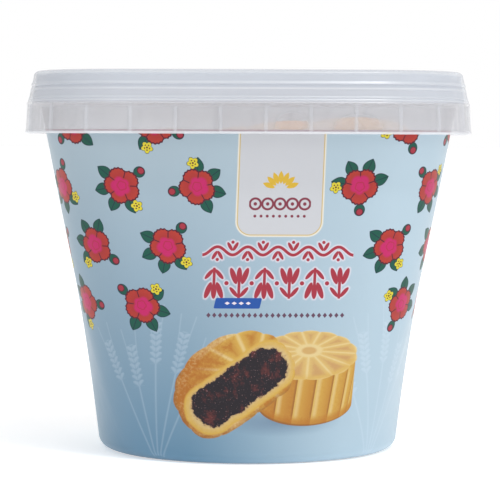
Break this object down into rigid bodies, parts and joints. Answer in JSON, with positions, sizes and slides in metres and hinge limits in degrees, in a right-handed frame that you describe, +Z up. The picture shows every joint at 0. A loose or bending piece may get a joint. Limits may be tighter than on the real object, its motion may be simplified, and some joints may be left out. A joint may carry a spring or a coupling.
{
  "type": "food tub with lid",
  "caption": "Shut plastic tub for biscuits, round at its foot and a rounded square at its rim, with a printed wall and a milky push-on lid with a ribbed skirt.",
  "frame": {"origin": "centre of the base, on the surface that the tub stands on", "axes": "+Z up through the lid, -Y towards the front, where the plain panel of the print is, +X to the right seen from the front"},
  "size_m": [0.1586, 0.1586, 0.1372],
  "materials": {
    "printed_wall": "satin white plastic with a sky blue print moulded into the wall",
    "milky_plastic": "milky, slightly see-through plastic with a soft shine",
    "baked_dough": "dry, matt, golden baked dough"
  },
  "bodies": {
    "root": {"tub": "printed_wall", "biscuits": "baked_dough", "lid": "milky_plastic"}
  },
  "joints": []
}
